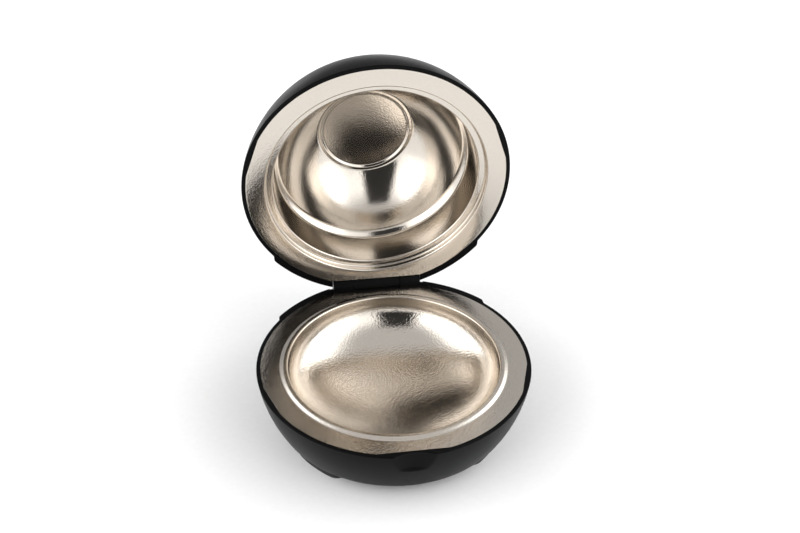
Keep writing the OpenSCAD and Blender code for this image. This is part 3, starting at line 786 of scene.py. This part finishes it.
def lid_liner_outline():
    """The lower face of the lid liner, from the edge of the flange to the middle of the disc."""
    wall_r = LID_WALL_H / math.sin(math.radians(WALL_BEND))
    wall_mid = Vector((LID_BOWL_R - wall_r, RECESS_D + PRESS_R))
    step_mid = wall_mid + polar(wall_r - STEP_R, WALL_BEND)
    step_end = step_mid + polar(STEP_R, STEP_TURN)
    dome_start = step_end + DOME_FOOT
    dome_end = Vector((LIP_R, DISC_D - DISC_IN))
    middle = (dome_start.length_squared - dome_end.length_squared) / (2 * (dome_start.y - dome_end.y))
    dome_r = (dome_start - Vector((0, middle))).length
    dome_from, dome_to = (math.degrees(math.asin((p.y - middle) / dome_r)) for p in (dome_start, dome_end))
    dome = arc((0, middle), dome_r, dome_from, dome_to, 40)
    crease = eased(step_mid + polar(STEP_R, STEP_TURN - CREASE_TURN), dome[0], dome[CREASE_SKIP], CREASE_REACH, 8)
    return ([(FLANGE_R, 0), (FLANGE_R - 1, 0), (RECESS_R + PRESS_R + 0.6, 0)]
            + arc((RECESS_R + PRESS_R, PRESS_R), PRESS_R, 270, 180, 8)
            + arc((RECESS_R - PRESS_R, RECESS_D - PRESS_R), PRESS_R, 0, 90, 8)
            + arc((LID_BOWL_R + PRESS_R, RECESS_D + PRESS_R), PRESS_R, 270, 180, 8)
            + arc(wall_mid, wall_r, 0.5, WALL_BEND, 16)
            + arc(step_mid, STEP_R, WALL_BEND + 4, STEP_TURN - CREASE_TURN, 10)
            + crease
            + dome[CREASE_SKIP:]
            + [(LIP_R - 0.4, dome_end.y), (DISC_R + DISC_SLOPE, dome_end.y)]
            + swell((DISC_R + DISC_SLOPE, dome_end.y), (DISC_R, DISC_D), 12)
            + [(DISC_R - 0.8, DISC_D), (0, DISC_D)])


make_liner("lid_liner_pressing", lid_liner_outline(), LID_FLATS, on_lid, "lid", "lid_liner", lid_nickel,
           face_up=False)

# %% [markdown]
# ## Floor
# The box stands on a white sweep of paper. A wide flat grid does for that, since nothing of its
# shape is seen: only the soft shadow on it. It is staged, so it isn't part of the object.

# %% Floor
FLOOR_HALF = 3.0


def stage_piece(name, bm, material):
    """Makes a bmesh an object that stands round the box and isn't part of it."""
    mesh = bpy.data.meshes.new(name)
    bm.to_mesh(mesh)
    bm.free()
    mesh.materials.append(material)
    obj = bpy.data.objects.new(name, mesh)
    bpy.context.scene.collection.objects.link(obj)
    return obj


def make_floor():
    """Lays the sweep, with the faint speckle of paper."""
    bm = bmesh.new()
    bmesh.ops.create_grid(bm, x_segments=8, y_segments=8, size=FLOOR_HALF)
    material, tree, shader, place = new_finish("white sweep", 0.0, Roughness=0.9)
    paper = use_group(tree, grain, place, Grains_per_Metre=300.0, Wave_Share=0.0)
    tone = tinted(tree, paper.outputs["Speckle"], (0.96, 0.96, 0.96), (0.98, 0.98, 0.98))
    tree.links.new(tone, shader.inputs["Base Color"])
    stage_piece("floor", bm, material)


make_floor()

# %% [markdown]
# ## Light tent
# The plated bowls mirror all that stands round them, so the light and dark parts of the room matter
# as much as the metal itself. Lamps would show in them as hard spots. Here the world itself is the
# light, a tent whose strength changes softly with the direction: brighter with height and at the
# sides, grey at the back and right above. The camera sees plain white instead.

# %% Studio room
# Each zone says where it starts and ends along a direction, and its strength before and after.
HEIGHT_ZONE = (0.0, 0.5, 1.0, 1.65)
BACK_ZONE = (0.35, 0.75, 1.0, 0.32)
SIDE_ZONE = (0.4, 0.75, 1.0, 1.85)
TOP_ZONE = (0.62, 0.92, 1.0, 0.42)
WHITE = (1, 1, 1, 1)


def zone_light(tree, reach, start, end, before, after):
    """A strength that changes from one value to another as the reach goes from start to end."""
    return put(tree, "ShaderNodeMapRange", {"Value": reach, "From Min": start, "From Max": end, "To Min": before,
               "To Max": after}, interpolation_type="SMOOTHSTEP").outputs["Result"]


def make_room():
    """Multiplies the zones of the tent to one strength, and shows white to the camera."""
    world = bpy.data.worlds.new("studio")
    bpy.context.scene.world = world
    world.use_nodes = True
    tree = world.node_tree
    tree.nodes.clear()
    way = put(tree, "ShaderNodeSeparateXYZ", {0: tree.nodes.new("ShaderNodeTexCoord").outputs["Generated"]})
    aside = math_node(tree, "ABSOLUTE", way.outputs["X"])
    strength = zone_light(tree, way.outputs["Z"], *HEIGHT_ZONE)
    for reach, zone in ((way.outputs["Y"], BACK_ZONE), (aside, SIDE_ZONE), (way.outputs["Z"], TOP_ZONE)):
        strength = math_node(tree, "MULTIPLY", strength, zone_light(tree, reach, *zone))
    tent = put(tree, "ShaderNodeBackground", {"Color": WHITE, "Strength": strength})
    white = put(tree, "ShaderNodeBackground", {"Color": WHITE, "Strength": 1.0})
    camera_ray = tree.nodes.new("ShaderNodeLightPath").outputs["Is Camera Ray"]
    mixed = put(tree, "ShaderNodeMixShader", {0: camera_ray, 1: tent.outputs[0], 2: white.outputs[0]})
    out = tree.nodes.new("ShaderNodeOutputWorld")
    tree.links.new(mixed.outputs[0], out.inputs["Surface"])


make_room()

# %% [markdown]
# ## Dark board
# The plating in the photo mirrors a dark part of the studio in front, and polished metal needs one
# to look like metal. A darker world would shade the shells too, so a black board stands there. Its
# ray visibility hides it from the camera, and it shows in the mirrors only: as a streak in the
# dome, and as dark patches where lid and base mirror each other.

# %% The dark board at the camera
BOARD_LOW, BOARD_HIGH = Vector((-0.40, -0.64, 0.18)), Vector((0.125, -0.62, 1.25))


def make_board():
    """Stands the board between its two corners, seen by mirrors only."""
    bm = bmesh.new()
    bmesh.ops.create_cube(bm, size=1)
    bmesh.ops.scale(bm, vec=BOARD_HIGH - BOARD_LOW, verts=bm.verts)
    bmesh.ops.translate(bm, vec=(BOARD_LOW + BOARD_HIGH) / 2, verts=bm.verts)
    material = make_plain_finish("black board", 0.0, (0.01, 0.01, 0.01), (0.02, 0.02, 0.02), (0.8, 0.9), 300.0, 0.0001)
    board = stage_piece("board", bm, material)
    board.visible_camera = False


make_board()

# %% [markdown]
# ## Camera
# The rings of the two liners are circles of a known size, and in the photo they are ellipses. A fit
# of both at once gives the camera's place, its turn and its lens. The place counts from the middle
# of the base's rim, so the camera follows if the model moves.

# %% Camera, from the fit of the two liner rings
LENS, SENSOR = 63.72, 36
CAMERA_ASIDE, CAMERA_FRONT, CAMERA_UP = -0.08510, 0.568415, 0.479867
VIEW_RIGHT, VIEW_UP = Vector((0.98913, -0.14683, 0.00814)), Vector((0.07974, 0.58203, 0.80925))


def place_camera():
    """Makes the camera from two directions of its view and its place."""
    data = bpy.data.cameras.new("camera")
    data.sensor_fit, data.sensor_width, data.lens = "HORIZONTAL", SENSOR, LENS
    camera = bpy.data.objects.new("camera", data)
    bpy.context.scene.collection.objects.link(camera)
    turn = Matrix((VIEW_RIGHT, VIEW_UP, VIEW_RIGHT.cross(VIEW_UP))).transposed().to_4x4()
    place = Matrix.Translation((CAMERA_ASIDE, base_middle_y - CAMERA_FRONT, rim_z + CAMERA_UP))
    camera.matrix_world = place @ turn
    bpy.context.scene.camera = camera


place_camera()
bpy.context.scene.view_settings.view_transform = "Standard"

# %% Update the scene and finish
bpy.context.view_layer.update()
